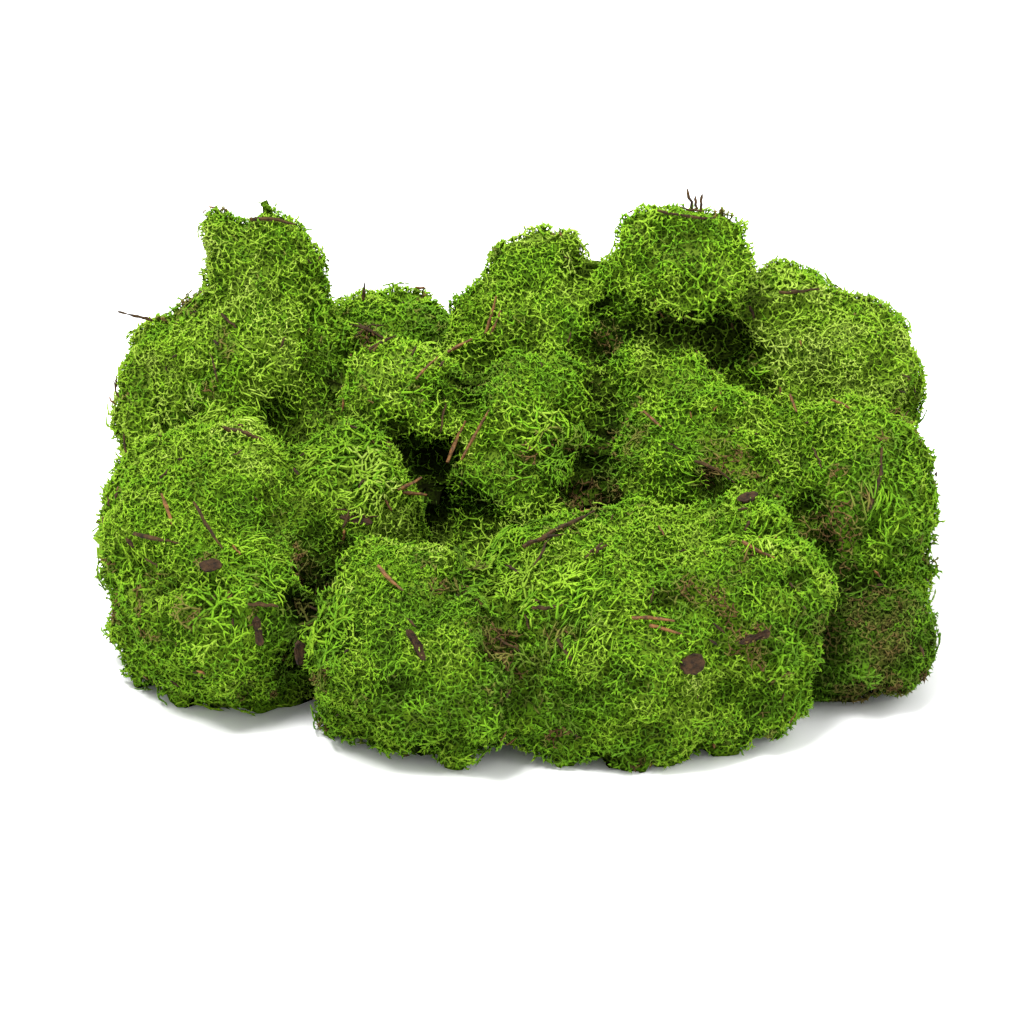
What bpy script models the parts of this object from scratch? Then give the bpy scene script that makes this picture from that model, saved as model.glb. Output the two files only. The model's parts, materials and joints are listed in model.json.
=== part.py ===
"""Moss clump: sixteen tufts of reindeer moss heaped and tangled into one clump, with the pine
needles, twigs and bark that are caught in it.

Metres, +Z up, the front faces -Y. The origin is at the centre of the clump's footprint, on the
surface that it rests on. Each tuft is a union of soft lobes whose surface is the reach of the
branch tips. A tuft is carved by the ones before it in TUFTS, so neighbours press together with
a narrow fissure between them, and each one that reaches the ground is cut flat there.
"""

import math
import random

import bmesh
import bpy
from mathutils import Matrix, Vector
from mathutils.bvhtree import BVHTree

MM = 0.001

FISSURE = 2.8 * MM  # between one tuft and the next
VOXEL = 2.8 * MM  # the grid that melts a tuft's lobes together
LUMP_SIZE = 26 * MM  # how far apart the swellings of a tuft's surface are
LUMP_HEIGHT = 9 * MM
LUMP_LEVEL = 0.55  # the part of a lump's height that lies below the lobes' own surface
FACET_AREA = 62 * MM * MM  # mean size of a tuft's facets
GROUND_SNAP = 1.2 * MM  # points this near the ground are moved onto it
SLIVER = 0.25 * MM  # points this near each other are merged
LITTER_GAP = 0.35 * MM  # between a piece of litter and what it lies on
STEP = 0.25 * MM  # litter is backed out of what it touches by this much at a time
MOST_STEPS = 200
FACING = 0.6  # how much the litter turns its flat side to the front
EYE_LEAN = math.radians(23.5)  # litter is placed as seen from a point in front, this much above
EYE_DISTANCE = 1.4
MIDDLE = Vector((0, 0, 40 * MM))  # what that point looks at
AHEAD = Vector((0, math.cos(EYE_LEAN), -math.sin(EYE_LEAN)))
UPWARD = Vector((0, math.sin(EYE_LEAN), math.cos(EYE_LEAN)))
EYE = MIDDLE - AHEAD * EYE_DISTANCE
UP = Vector((0, 0, 1))
FLAKE_CORNERS = 9
NEEDLE_KINKS = 2
TWIG_KINKS = 4
SEED = 7

# Each tuft's lobes in millimetres: centre x, y, z, then radius along x, y, z.
TUFTS = {
    "tuft_ball": [
        (63, 30, 128, 30, 28, 29),
        (47, 31, 121, 17, 18, 17),
        (78, 28, 121, 18, 19, 18),
        (86, 32, 142, 8, 8, 9),
    ],
    "tuft_bright": [
        (-40, -8, 93, 26, 25, 19),
        (-57, -14, 84, 15, 16, 12),
        (-30, -22, 84, 15, 14, 13),
        (-38, 14, 46, 24, 24, 58),
    ],
    "tuft_crown": [
        (-4, 44, 125, 13, 12, 11),
        (16, 45, 129, 12, 12, 12),
        (5, 38, 97, 32, 30, 30),
        (26, 34, 100, 15, 20, 20),
        (-13, 30, 86, 20, 26, 24),
        (-19, 36, 110, 10, 11, 10),
        (4, 24, 80, 34, 24, 22),
    ],
    "tuft_front_right": [
        (34, -104, 40, 56, 58, 40),
        (82, -96, 40, 36, 50, 40),
        (40, -112, 18, 70, 44, 34),
    ],
    "tuft_front_left": [
        (-40, -113, 36, 36, 50, 34),
        (-16, -120, 32, 34, 46, 34),
        (-34, -108, 16, 42, 44, 32),
    ],
    "tuft_left_front": [
        (-112, -46, 49, 46, 58, 43),
        (-101, -80, 38, 44, 46, 36),
        (-130, -30, 38, 28, 46, 42),
        (-105, -56, 16, 48, 56, 32),
    ],
    "tuft_left_tall": [
        (-97, 38, 116, 28, 27, 33),
        (-110, 38, 131, 14, 18, 18),
        (-95, 40, 146, 8, 8, 11),
        (-96, 30, 86, 37, 40, 42),
        (-127, 46, 64, 33, 40, 42),
        (-98, 34, 34, 50, 56, 46),
        (-74, 6, 60, 21, 28, 27),
    ],
    "tuft_right_back": [
        (106, 42, 90, 31, 34, 34),
        (130, 32, 79, 34, 42, 38),
        (133, 40, 105, 11, 12, 12),
        (116, 44, 112, 14, 14, 11),
        (108, 44, 38, 50, 56, 48),
    ],
    "tuft_middle_right": [
        (58, 8, 82, 27, 30, 27),
        (72, -20, 62, 42, 38, 38),
        (98, -38, 46, 24, 36, 40),
        (70, -24, 26, 46, 46, 38),
    ],
    "tuft_centre": [
        (6, -2, 66, 34, 36, 42),
        (8, -22, 40, 32, 30, 38),
        (-14, -18, 54, 17, 24, 34),
        (-6, -26, 14, 46, 52, 30),
    ],
    "tuft_right_front": [
        (126, -22, 54, 38, 52, 43),
        (126, -14, 22, 40, 54, 36),
        (122, -64, 42, 16, 12, 9),
    ],
    "tuft_middle_left": [
        (-62, -46, 52, 31, 44, 39),
        (-72, -58, 30, 31, 44, 36),
        (-60, -46, 18, 34, 44, 30),
    ],
    "tuft_right_low": [
        (124, -76, 18, 38, 36, 24),
    ],
    "tuft_back_left": [
        (-46, 72, 64, 40, 44, 38),
        (-54, 62, 34, 46, 54, 44),
    ],
    "tuft_back_right": [
        (60, 68, 60, 44, 44, 38),
        (60, 64, 28, 50, 54, 38),
        (78, 40, 97, 14, 13, 10),
    ],
    "tuft_back": [
        (6, 80, 46, 42, 46, 42),
        (4, 66, 22, 48, 58, 34),
    ],
}

# Litter: kind, then in millimetres how far to the right of MIDDLE and how far above it the piece
# lies as seen from EYE, then its angle from level, anticlockwise, then length and thickness.
LITTER = {
    "needle_centre_a": ("needle", -8, 74, 74, 15, 1.3),
    "needle_centre_b": ("needle", -6, 71, 66, 10, 1.2),
    "needle_bright": ("needle", -20, 62, 27, 11, 1.5),
    "needle_dark": ("needle", -33, 53, 51, 13, 1.2),
    "needle_long_a": ("needle", -21, 24, 88, 19, 1.5),
    "needle_long_b": ("needle", -14, 27, 62, 22, 1.3),
    "needle_fork_a": ("needle", -40, 8, 28, 12, 1.6),
    "needle_fork_b": ("needle", -38, 4, 4, 10, 1.5),
    "needle_left": ("needle", -134, -2, -66, 13, 1.4),
    "needle_front": ("needle", -47, -29, -52, 15, 1.5),
    "needle_middle": ("needle", 55, 33, -45, 10, 1.4),
    "needle_right_a": ("needle", 106, 40, -82, 12, 1.4),
    "needle_right_b": ("needle", 110, 39, -66, 10, 1.2),
    "needle_right_c": ("needle", 128, 39, -37, 8, 1.3),
    "needle_right_low": ("needle", 96, -18, -32, 13, 1.6),
    "needle_low_a": ("needle", 55, -45, -3, 15, 1.4),
    "needle_low_b": ("needle", 60, -49, -14, 12, 1.5),
    "twig_peak": ("twig", -93, 110, -5, 18, 1.7),
    "twig_crease": ("twig", -105, 27, -17, 16, 2.2),
    "twig_left": ("twig", -138, -13, -15, 19, 1.7),
    "twig_left_long": ("twig", -118, -8, -60, 20, 1.4),
    "twig_left_low": ("twig", -97, -39, -5, 11, 1.7),
    "twig_root_a": ("twig", -55, 67, -25, 15, 1.3),
    "twig_root_b": ("twig", -50, 63, 30, 12, 1.2),
    "twig_fork_a": ("twig", 22, -8, 43, 23, 1.7),
    "twig_fork_b": ("twig", 13, -14, 14, 16, 1.9),
    "twig_curved": ("twig", 33, -19, 45, 10, 1.5),
    "twig_middle": ("twig", 79, 13, -27, 17, 1.3),
    "twig_right": ("twig", 142, 10, 76, 24, 1.6),
    "twig_right_top": ("twig", 112, 83, 10, 16, 1.6),
    "twig_ball": ("twig", 68, 113, -10, 22, 1.4),
    "twig_front_a": ("twig", 14, -40, 6, 11, 1.6),
    "twig_front_b": ("twig", 21, -57, -50, 10, 1.5),
    "bark_low": ("bark", -99, -49, -80, 12, 3.2),
    "bark_flake": ("bark", -81, -56, -65, 10, 6.5),
    "bark_front": ("bark", -37, -55, -62, 14, 3.4),
    "bark_middle": ("bark", -61, -6, -8, 13, 3.0),
    "bark_brown": ("bark", -117, -24, 8, 9, 5.0),
    "bark_right": ("bark", 91, 2, 42, 10, 4.0),
    "bark_low_right": ("bark", 95, -52, 20, 12, 3.0),
    "bark_round": ("bark", 70, -62, 6, 10, 8.0),
}

# Litter that stands clear of the moss: its foot as above, then the way that it points,
# length and thickness.
STANDING = {
    "stem_back": ((-58, 79), (0.1, 0.0, 1.0), 9, 1.4),
    "stem_side": ((-139, 72), (-1.0, -0.1, 0.3), 14, 1.3),
}

COLOURS = {
    "moss": ((0.12, 0.36, 0.02), 0.85),
    "moss_light": ((0.22, 0.48, 0.03), 0.85),
    "moss_shaded": ((0.07, 0.2, 0.02), 0.9),
    "needle": ((0.32, 0.13, 0.04), 0.6),
    "twig": ((0.1, 0.055, 0.03), 0.85),
    "bark": ((0.07, 0.035, 0.025), 0.9),
}

LIGHT_TUFTS = {"tuft_ball", "tuft_bright", "tuft_left_tall"}
SHADED_TUFTS = {"tuft_right_low", "tuft_back", "tuft_back_left", "tuft_back_right"}


def empty_scene():
    for old in list(bpy.data.objects):
        bpy.data.objects.remove(old)


def collection(name):
    made = bpy.data.collections.new(name)
    bpy.context.scene.collection.children.link(made)
    return made


def material(name):
    colour, roughness = COLOURS[name]
    made = bpy.data.materials.new(name)
    made.use_nodes = True
    shader = made.node_tree.nodes["Principled BSDF"]
    shader.inputs["Base Color"].default_value = (*colour, 1.0)
    shader.inputs["Roughness"].default_value = roughness
    shader.inputs["Metallic"].default_value = 0.0
    return made


def evaluated_mesh(source):
    bpy.context.view_layer.update()
    graph = bpy.context.evaluated_depsgraph_get()
    return bpy.data.meshes.new_from_object(source.evaluated_get(graph))


def lobes_object(name, lobes, group):
    """One object with every lobe of a tuft, still separate and overlapping."""
    shape = bmesh.new()
    for x, y, z, rx, ry, rz in lobes:
        place = Matrix.Translation(Vector((x, y, z)) * MM)
        size = Matrix.Diagonal((rx * MM, ry * MM, rz * MM, 1.0))
        bmesh.ops.create_icosphere(shape, subdivisions=4, radius=1.0, matrix=place @ size)
    mesh = bpy.data.meshes.new(name)
    shape.to_mesh(mesh)
    shape.free()
    made = bpy.data.objects.new(name, mesh)
    group.objects.link(made)
    return made


def lump_texture():
    made = bpy.data.textures.new("lumps", "CLOUDS")
    made.noise_scale = LUMP_SIZE
    made.noise_depth = 1
    return made


def melt(tuft):
    """Joins the lobes into one skin, by voxels."""
    voxels = tuft.modifiers.new("melt", "REMESH")
    voxels.mode = "VOXEL"
    voxels.voxel_size = VOXEL


def swell(tuft, lumps):
    """Raises the uneven swellings that a tuft's surface has."""
    displace = tuft.modifiers.new("swell", "DISPLACE")
    displace.texture = lumps
    displace.texture_coords = "GLOBAL"
    displace.strength = LUMP_HEIGHT
    displace.mid_level = LUMP_LEVEL


def carve(tuft, rooms):
    """Takes away the rooms that the neighbours fill. All of these skins are closed, and where
    two of them graze each other the EXACT solver sometimes leaves the cut out."""
    for room in rooms:
        cut = tuft.modifiers.new("carve", "BOOLEAN")
        cut.operation = "DIFFERENCE"
        cut.solver = "MANIFOLD"
        cut.object = room


def soften(tuft):
    smooth = tuft.modifiers.new("soften", "SMOOTH")
    smooth.factor = 0.5
    smooth.iterations = 2


def facet(tuft, mesh):
    """Reduces the skin to facets of about FACET_AREA."""
    area = sum(face.area for face in mesh.polygons)
    triangles = sum(len(face.vertices) - 2 for face in mesh.polygons)
    decimate = tuft.modifiers.new("facet", "DECIMATE")
    decimate.ratio = min(1.0, area / FACET_AREA / triangles)


def overlapping(mesh, others):
    """The objects in others whose box meets the mesh's box."""
    low, high = box_of([v.co for v in mesh.vertices])
    near = []
    for other in others:
        other_low, other_high = box_of([v.co for v in other.data.vertices])
        if all(low[i] < other_high[i] and other_low[i] < high[i] for i in range(3)):
            near.append(other)
    return near


def box_of(points):
    low = Vector([min(p[i] for p in points) for i in range(3)])
    high = Vector([max(p[i] for p in points) for i in range(3)])
    return low, high


def keep_largest(shape):
    """Drops every island of the skin but the one with the most points."""
    left = set(shape.verts)
    islands = []
    while left:
        start = left.pop()
        island = [start]
        for vert in island:
            for edge in vert.link_edges:
                other = edge.other_vert(vert)
                if other in left:
                    left.remove(other)
                    island.append(other)
        islands.append(island)
    islands.sort(key=len)
    for island in islands[:-1]:
        bmesh.ops.delete(shape, geom=island, context="VERTS")


def cut_at_ground(shape):
    """Cuts the skin flat at z = 0 and closes the cut."""
    for vert in shape.verts:
        if abs(vert.co.z) < GROUND_SNAP:
            vert.co.z = 0.0
    if min(vert.co.z for vert in shape.verts) > -GROUND_SNAP:
        return
    everything = shape.verts[:] + shape.edges[:] + shape.faces[:]
    bmesh.ops.bisect_plane(
        shape, geom=everything, dist=1e-6, plane_co=(0, 0, 0), plane_no=(0, 0, 1), clear_inner=True
    )
    rim = [edge for edge in shape.edges if edge.is_boundary]
    bmesh.ops.triangle_fill(shape, edges=rim, use_beauty=True, normal=(0, 0, -1))


def merge_slivers(shape):
    bmesh.ops.dissolve_degenerate(shape, dist=SLIVER, edges=shape.edges[:])
    bmesh.ops.triangulate(shape, faces=shape.faces[:])
    bmesh.ops.recalc_face_normals(shape, faces=shape.faces[:])


def finish_tuft(tuft, rooms):
    """Applies the modifiers, makes the tuft's cutter, then cuts the tuft at the ground."""
    mesh = evaluated_mesh(tuft)
    shape = bmesh.new()
    shape.from_mesh(mesh)
    bmesh.ops.triangulate(shape, faces=shape.faces[:])
    keep_largest(shape)
    shape.to_mesh(mesh)
    fissure_cutter(tuft.name + "_room", mesh.copy(), rooms)
    cut_at_ground(shape)
    merge_slivers(shape)
    shape.to_mesh(mesh)
    shape.free()
    tuft.modifiers.clear()
    tuft.data = mesh
    mesh.shade_smooth()


def fissure_cutter(name, mesh, rooms):
    """The room that a tuft and the fissure around it fill."""
    cutter = bpy.data.objects.new(name, mesh)
    rooms.objects.link(cutter)
    grow = cutter.modifiers.new("grow", "DISPLACE")
    grow.mid_level = 0.0
    grow.strength = FISSURE
    melt(cutter)
    cutter.hide_render = True
    cutter.display_type = "WIRE"


def tuft_material(name):
    if name in LIGHT_TUFTS:
        return "moss_light"
    if name in SHADED_TUFTS:
        return "moss_shaded"
    return "moss"


def make_tufts(parts, rooms, materials):
    lumps = lump_texture()
    tufts = []
    for name, lobes in TUFTS.items():
        tuft = lobes_object(name, lobes, parts)
        melt(tuft)
        swell(tuft, lumps)
        carve(tuft, overlapping(evaluated_mesh(tuft), rooms.objects))
        melt(tuft)
        soften(tuft)
        facet(tuft, evaluated_mesh(tuft))
        finish_tuft(tuft, rooms)
        tuft.data.materials.append(materials[tuft_material(name)])
        tufts.append(tuft)
    return tufts


class Ground:
    """What the litter lies on: the tufts, and the litter that is already there."""

    def __init__(self, tufts):
        self.trees = [self.tree(tuft) for tuft in tufts]
        self.tufts = len(self.trees)

    def tree(self, piece):
        mesh = evaluated_mesh(piece)
        points = [piece.matrix_world @ v.co for v in mesh.vertices]
        return BVHTree.FromPolygons(points, [tuple(p.vertices) for p in mesh.polygons])

    def add(self, piece):
        bpy.context.view_layer.update()
        self.trees.append(self.tree(piece))

    def landing(self, across, up):
        """Where a line from EYE first meets a tuft, and the way out of it there."""
        line = Vector((across * MM, 0, 0)) + UPWARD * up * MM + MIDDLE - EYE
        hits = [tree.ray_cast(EYE, line) for tree in self.trees[: self.tufts]]
        hits = [hit for hit in hits if hit[0] is not None]
        return min(hits, key=lambda hit: hit[3])[:2]

    def touches(self, points, faces):
        """Whether a skin cuts anything, or has a point nearer than LITTER_GAP to it or inside."""
        skin = BVHTree.FromPolygons(points, faces)
        for tree in self.trees:
            if tree.overlap(skin):
                return True
            for point in points:
                if tree.find_nearest(point, LITTER_GAP)[0] is not None:
                    return True
                above, normal = tree.ray_cast(point, UP)[:2]
                if above is not None and normal.dot(UP) > 0:
                    return True
        return False


def strand_object(name, length, thickness, kinks, group, draw):
    """A thin round strand along X: straight needles have one bend, twigs have kinks."""
    curve = bpy.data.curves.new(name, "CURVE")
    curve.dimensions = "3D"
    curve.bevel_depth = thickness / 2
    curve.bevel_resolution = 1
    curve.use_fill_caps = True
    spline = curve.splines.new("POLY")
    spline.points.add(kinks + 1)
    last = kinks + 1
    bend = draw.uniform(-0.05, 0.05) * length
    for i, point in enumerate(spline.points):
        t = i / last
        kink = draw.uniform(-0.25, 0.25) * thickness * (kinks > NEEDLE_KINKS)
        side = bend * math.sin(math.pi * t) + kink
        lift = draw.uniform(-0.1, 0.1) * thickness
        point.co = ((t - 0.5) * length, side, lift, 1)
        point.radius = 0.55 + 0.45 * math.sin(math.pi * min(1.0, t + 0.15))
    made = bpy.data.objects.new(name, curve)
    group.objects.link(made)
    return made


def flake_object(name, length, width, group, draw):
    """A flat flake with an uneven outline, as a flat curve with a thickness."""
    curve = bpy.data.curves.new(name, "CURVE")
    curve.dimensions = "2D"
    curve.fill_mode = "BOTH"
    curve.extrude = 0.1 * width + 0.25 * MM
    spline = curve.splines.new("POLY")
    spline.points.add(FLAKE_CORNERS - 1)
    spline.use_cyclic_u = True
    for i, point in enumerate(spline.points):
        angle = 2 * math.pi * i / FLAKE_CORNERS
        reach = draw.uniform(0.85, 1.05)
        x = 0.5 * length * math.cos(angle) * reach
        y = 0.5 * width * math.sin(angle) * reach
        point.co = (x, y, 0, 1)
    made = bpy.data.objects.new(name, curve)
    group.objects.link(made)
    return made


def settle(piece, ground, point, way, turned):
    """Backs a piece out along a way, in small steps, until it touches nothing."""
    mesh = evaluated_mesh(piece)
    corners = [v.co.copy() for v in mesh.vertices]
    faces = [tuple(polygon.vertices) for polygon in mesh.polygons]
    place = Matrix.Translation(point) @ turned
    for step in range(MOST_STEPS):
        place = Matrix.Translation(point + way * step * STEP) @ turned
        if not ground.touches([place @ corner for corner in corners], faces):
            break
    piece.matrix_world = place
    ground.add(piece)


def lay(piece, ground, across, up, turn, radius):
    """Lays a piece on the moss, its X axis turned by an angle as seen from the front."""
    point, normal = ground.landing(across, up)
    normal = (normal - FACING * AHEAD).normalized()
    angle = math.radians(turn)
    along = Vector((math.cos(angle), 0, 0)) + UPWARD * math.sin(angle)
    along = (along - normal * along.dot(normal)).normalized()
    turned = Matrix((along, normal.cross(along), normal)).transposed().to_4x4()
    settle(piece, ground, point + normal * radius, -AHEAD, turned)


def stand(piece, ground, foot, way, length):
    """Stands a piece on the moss, pointing a given way."""
    point, _ = ground.landing(*foot)
    way = Vector(way).normalized()
    turned = way.to_track_quat("X", "Z").to_matrix().to_4x4()
    settle(piece, ground, point + way * length / 2, way, turned)


def make_litter(parts, ground, materials):
    draw = random.Random(SEED)
    pieces = []
    for name, (kind, across, up, turn, length, thickness) in LITTER.items():
        if kind == "bark":
            piece = flake_object(name, length * MM, thickness * MM, parts, draw)
            radius = piece.data.extrude
        else:
            kinks = NEEDLE_KINKS if kind == "needle" else TWIG_KINKS
            piece = strand_object(name, length * MM, thickness * MM, kinks, parts, draw)
            radius = thickness * MM / 2
        lay(piece, ground, across, up, turn, radius)
        piece.data.materials.append(materials[kind])
        pieces.append(piece)
    for name, (foot, way, length, thickness) in STANDING.items():
        piece = strand_object(name, length * MM, thickness * MM, TWIG_KINKS, parts, draw)
        stand(piece, ground, foot, way, length * MM)
        piece.data.materials.append(materials["twig"])
        pieces.append(piece)
    return pieces


def centre(pieces):
    """Moves everything so that the middle of the clump's box is over the origin."""
    bpy.context.view_layer.update()
    points = []
    for piece in pieces:
        points += [piece.matrix_world @ v.co for v in evaluated_mesh(piece).vertices]
    low, high = box_of(points)
    middle = (low + high) / 2
    for piece in pieces:
        piece.location -= Vector((middle.x, middle.y, 0))
    bpy.context.view_layer.update()


def main():
    empty_scene()
    parts = collection("moss_clump")
    materials = {name: material(name) for name in COLOURS}
    tufts = make_tufts(parts, collection("rooms"), materials)
    litter = make_litter(parts, Ground(tufts), materials)
    centre(tufts + litter)


main()
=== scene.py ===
"""Looks of the moss clump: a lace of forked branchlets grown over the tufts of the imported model.

The tufts' solids give the reach of the branch tips. One skin is drawn over them all, raised in
domes and parted at the deep fissures. Branchlets are scattered over that skin, and each tuft's
piece is the part of them, and of the dark core below, that lies over its solid.
Metres, +Z up, the front faces -Y.
"""

import itertools
import json
import math

import bmesh
import bpy
import numpy as np
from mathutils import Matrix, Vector
from mathutils.bvhtree import BVHTree
from mathutils.kdtree import KDTree


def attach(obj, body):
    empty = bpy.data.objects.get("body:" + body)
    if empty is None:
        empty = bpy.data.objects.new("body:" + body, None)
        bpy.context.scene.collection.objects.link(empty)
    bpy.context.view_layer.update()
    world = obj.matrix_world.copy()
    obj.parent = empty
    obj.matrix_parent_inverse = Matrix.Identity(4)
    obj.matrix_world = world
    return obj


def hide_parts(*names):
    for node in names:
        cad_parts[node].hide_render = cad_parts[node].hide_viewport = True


MM = 0.001
SEED = 11
DOME_SEED = 15  # only for the domes, which shape the outline

# Camera: the point that it looks at, from in front and above, with a long lens.
TARGET = Vector((-0.003, 0.0185, 0.040))  # patches are placed around this point
AIM = TARGET - Vector((0, 0.0011, 0.0025))
CAMERA_LEAN = math.radians(23.5)
CAMERA_DISTANCE = 1.4
LENS = 126.2  # millimetres
SENSOR = 36.0  # millimetres

# Studio: each light's place, size and power. They all point at the middle of the clump.
LIGHTS = {
    "key": ((-0.4, -0.55, 1.6), 0.6, 48),
    "fill": ((1.1, -0.6, 1.1), 1.0, 13),
    "back": ((0.2, 1.1, 1.2), 0.9, 10),
}
LIT_PLACE = Vector((0, 0, 0.05))
WORLD_LIGHT = 1.15
FLOOR_SIZE = 6.0

WELD = 1e-6
TRIES = 3.2  # places tried, to scatter points evenly, for each square as wide as their spacing

# The skin over all the tufts.
CLOSING = 1.9 * MM  # tufts swell this much, so that the narrow gaps between them close
SKIN_CELL = 2.6 * MM
SMOOTHING = 2
SWELL_SIZE = 22 * MM
SWELL_HEIGHT = 6.0 * MM
SWELL_LEVEL = 0.38  # the share of the noise that leaves the skin where it is
DOME_SPACING = 12.5 * MM
DOME_HEIGHT = 6.5 * MM
DOME_HEIGHTS = (0.45, 1.0)  # times DOME_HEIGHT
DOME_REACHES = (0.72, 1.0)  # times DOME_SPACING
PIT_SIZE = 6.0 * MM
PIT_DEPTH = 4.0 * MM
PIT_LEVEL = 0.70  # the share of the noise below which there is no pit
KNOB_SIZE = 4.6 * MM
KNOB_HEIGHT = 2.6 * MM
PATCH_PIT = 6.0 * MM  # depth of the pits in PATCHES
FISSURE_WIDTH = 3.2 * MM
FISSURE_DEPTH = 6.5 * MM
CREASE_SHARE = 0.8  # of that depth, at most, between neighbours with no open fissure
EVENING = 2  # times that each place goes half way to its neighbours' mean height
CREASE_SIZE = 12 * MM
LITTER_REACH = 4.0 * MM  # the skin rises to meet the litter within about this distance of it
LITTER_BED = 0.7 * MM
CORE_DEPTH = 2.9 * MM
GROUND = 0.4 * MM  # lowest place of the skin
LOWEST = 0.05 * MM  # lowest place of any branchlet
UNDERSIDE = 1.5 * MM  # skin this low that faces down is the cut that the clump rests on

# The lace.
SPACING = 1.55 * MM  # between one branching point and the next
WIDER_BEHIND = 0.3  # how much wider apart they are behind, and in the hollows
WIDER_INSIDE = 0.3
FINEST = 0.86  # the lace is this much finer in some places, and coarser by the next in others
COARSER = 0.5
COARSE_SIZE = 24 * MM
NEIGHBOURS = 3
LONGEST_ARM = 2.4  # times SPACING
BRANCH = 0.40 * MM  # radius
BENT_SHARE = 0.25  # of the arms
TIP_LENGTH = 1.4 * MM
TIP_LEANS = (0.8, 1.0)  # of a point's first tip and of its second
SECOND_TIPS = 0.55  # of the branching points have a second tip
HEAD_SHARE = 0.10  # about this share of the branching points carry a head that stands out
HEAD_TIPS = 3
ROOT_LENGTH = 3.2 * MM
DEEP_SHARE = 0.33  # of the branching points lie deep in the lace, and are this much darker: painted shade
DEEP_SHADE = 0.84
DEEP_SUNK = (1.7, 2.9)  # millimetres below the skin
TOP_SUNK = (0.5, 1.5)
COMBED_SHARE = 0.5  # of the branching points in a combed patch carry a long strand
COMBED_STRAY = 0.55  # how far a strand may turn from its patch's way
BAKE_MAP = "OFBake"  # the UV map that holds the lace's depth and hue
LACE_INWARD = 5  # steps that the lace goes on, over the skin, past the last place seen from outside
RAYS = 44  # ways that each place looks in, to tell how open it is
RAY_START = 1.2 * MM
RAY_LENGTH = 0.3
FLOOR_SHARE = 0.5  # what a ray that looks down counts

# Antlers: coarse branchlets that lie along the skin and fork again and again.
ANTLER_SHARE = 0.012  # of the branching points
ANTLERS_IN_PATCHES = 0.28  # of those in COARSE_PATCHES
ANTLER_ARM = 3.3 * MM
ANTLER_THICKNESS = 1.35  # times BRANCH
ANTLER_RISES = (-0.5 * MM, 0.3 * MM, 0.7 * MM, 1.0 * MM, 1.2 * MM)  # of each fork above the skin
ANTLER_FORKS = 0.88  # of the arms that a fork may have are there
ANTLER_THINS = 0.86  # from one fork to the next
ANTLER_SHORTENS = 0.8

# Dead spots lie where two noises are both high: their sizes, and how far they turn the hue.
DEAD_SIZES = (15 * MM, 5 * MM)
DEAD_HUE = 0.45

# Swings of the hue: the size, the noise's seed and how much.
HUE_SWINGS = ((34 * MM, SEED + 2, 0.34), (10 * MM, SEED + 3, 0.34), (4 * MM, SEED + 10, 0.20))

# Each tuft's hue, from 0 (dead brown) to 1 (pale yellow-green), and how light its tips are: partly
# its own tone, partly painted light and shade, low for tufts that lie in shade such as
# tuft_right_low.
TUFT_LOOKS = {
    "tuft_ball": (0.68, 1.10),
    "tuft_bright": (0.73, 1.08),
    "tuft_crown": (0.66, 1.0),
    "tuft_front_right": (0.63, 0.91),
    "tuft_front_left": (0.61, 0.86),
    "tuft_left_front": (0.65, 0.92),
    "tuft_left_tall": (0.68, 0.97),
    "tuft_right_back": (0.72, 1.0),
    "tuft_middle_right": (0.65, 1.0),
    "tuft_centre": (0.66, 1.0),
    "tuft_right_front": (0.61, 0.94),
    "tuft_middle_left": (0.65, 0.84),
    "tuft_right_low": (0.40, 0.72),
    "tuft_back_left": (0.58, 1.0),
    "tuft_back_right": (0.58, 1.0),
    "tuft_back": (0.68, 1.06),
}

# Patches of their own look, as seen by the camera: in millimetres how far to the right of
# TARGET and how far above it they are, and the radius.
PATCHES = {
    "pit": (
        (-87, 12, 4), (-91, -5, 4), (-75, -23, 5), (-83, -38, 5), (-81, -45, 4), (61, 66, 6),
        (86, 60, 6), (84, 36, 4), (98, 19, 4), (101, -8, 4), (116, -2, 4), (60, -37, 4),
        (97, -52, 5), (113, -28, 5), (117, -50, 6), (27, 5, 5), (78, 10, 6), (-140, -30, 3),
        (-4, -52, 5), (17, -51, 4), (-18, -23, 4), (26, -51, 3), (-21, 51, 4), (-24, 43, 4),
        (-25, 35, 4),
    ),
    "brown": (
        (-127, 78, 6), (-113, 68, 4), (-112, 60, 5), (-120, -22, 5), (37, 65, 7), (93, 74, 3),
        (94, 56, 3), (129, -9, 11), (137, 1, 7), (-2, -54, 7), (30, 4, 9), (93, -55, 10),
        (-56, 65, 5), (-64, 8, 4), (70, -32, 8), (-118, 45, 5),
    ),
    "olive": (
        (-75, -46, 13), (77, 21, 13), (75, 10, 9), (14, -50, 13), (136, -45, 18), (2, 12, 12),
        (47, 30, 9), (-8, -48, 14), (-55, 68, 6), (-70, 45, 10), (-8, 6, 11), (-37, 45, 5),
        (-12, 40, 9),
    ),
    "pale": (
        (-61, 6, 15), (3, 38, 13), (55, 65, 9), (123, 60, 12), (-100, 10, 13), (66, -21, 17),
        (-108, 100, 15), (-30, 62, 8), (137, 88, 10), (-38, -14, 13), (-95, 74, 14),
        (115, 30, 12),
    ),
    "green": (
        (-124, 17, 10), (-97, -31, 8), (88, -28, 9), (66, 95, 17), (40, -1, 8), (45, 74, 6),
        (-113, 92, 8), (13, 75, 10), (140, 18, 9), (-45, -40, 9), (22, 48, 9), (128, 95, 8),
    ),
}
# The pits' darker hue is painted shade in those hollows.
PATCH_HUES = {"pit": -0.12, "brown": -0.46, "olive": -0.20, "pale": 0.14, "green": -0.09}

# Where the skin is lower, or higher if below 0: the tuft, then placed in the same way, and by how
# many millimetres.
DIPS = (
    ("tuft_ball", 66, 119, 18, 5.0),
    ("tuft_left_tall", -95, 118, 13, 3.5),
    ("tuft_left_tall", -118, 110, 9, -4.0),
)

# Where the lace is coarse, placed in the same way.
COARSE_PATCHES = (
    (7, 25, 17), (-63, 14, 14), (-12, -21, 10), (-108, -38, 16), (-76, -50, 12), (10, -40, 16),
)

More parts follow.
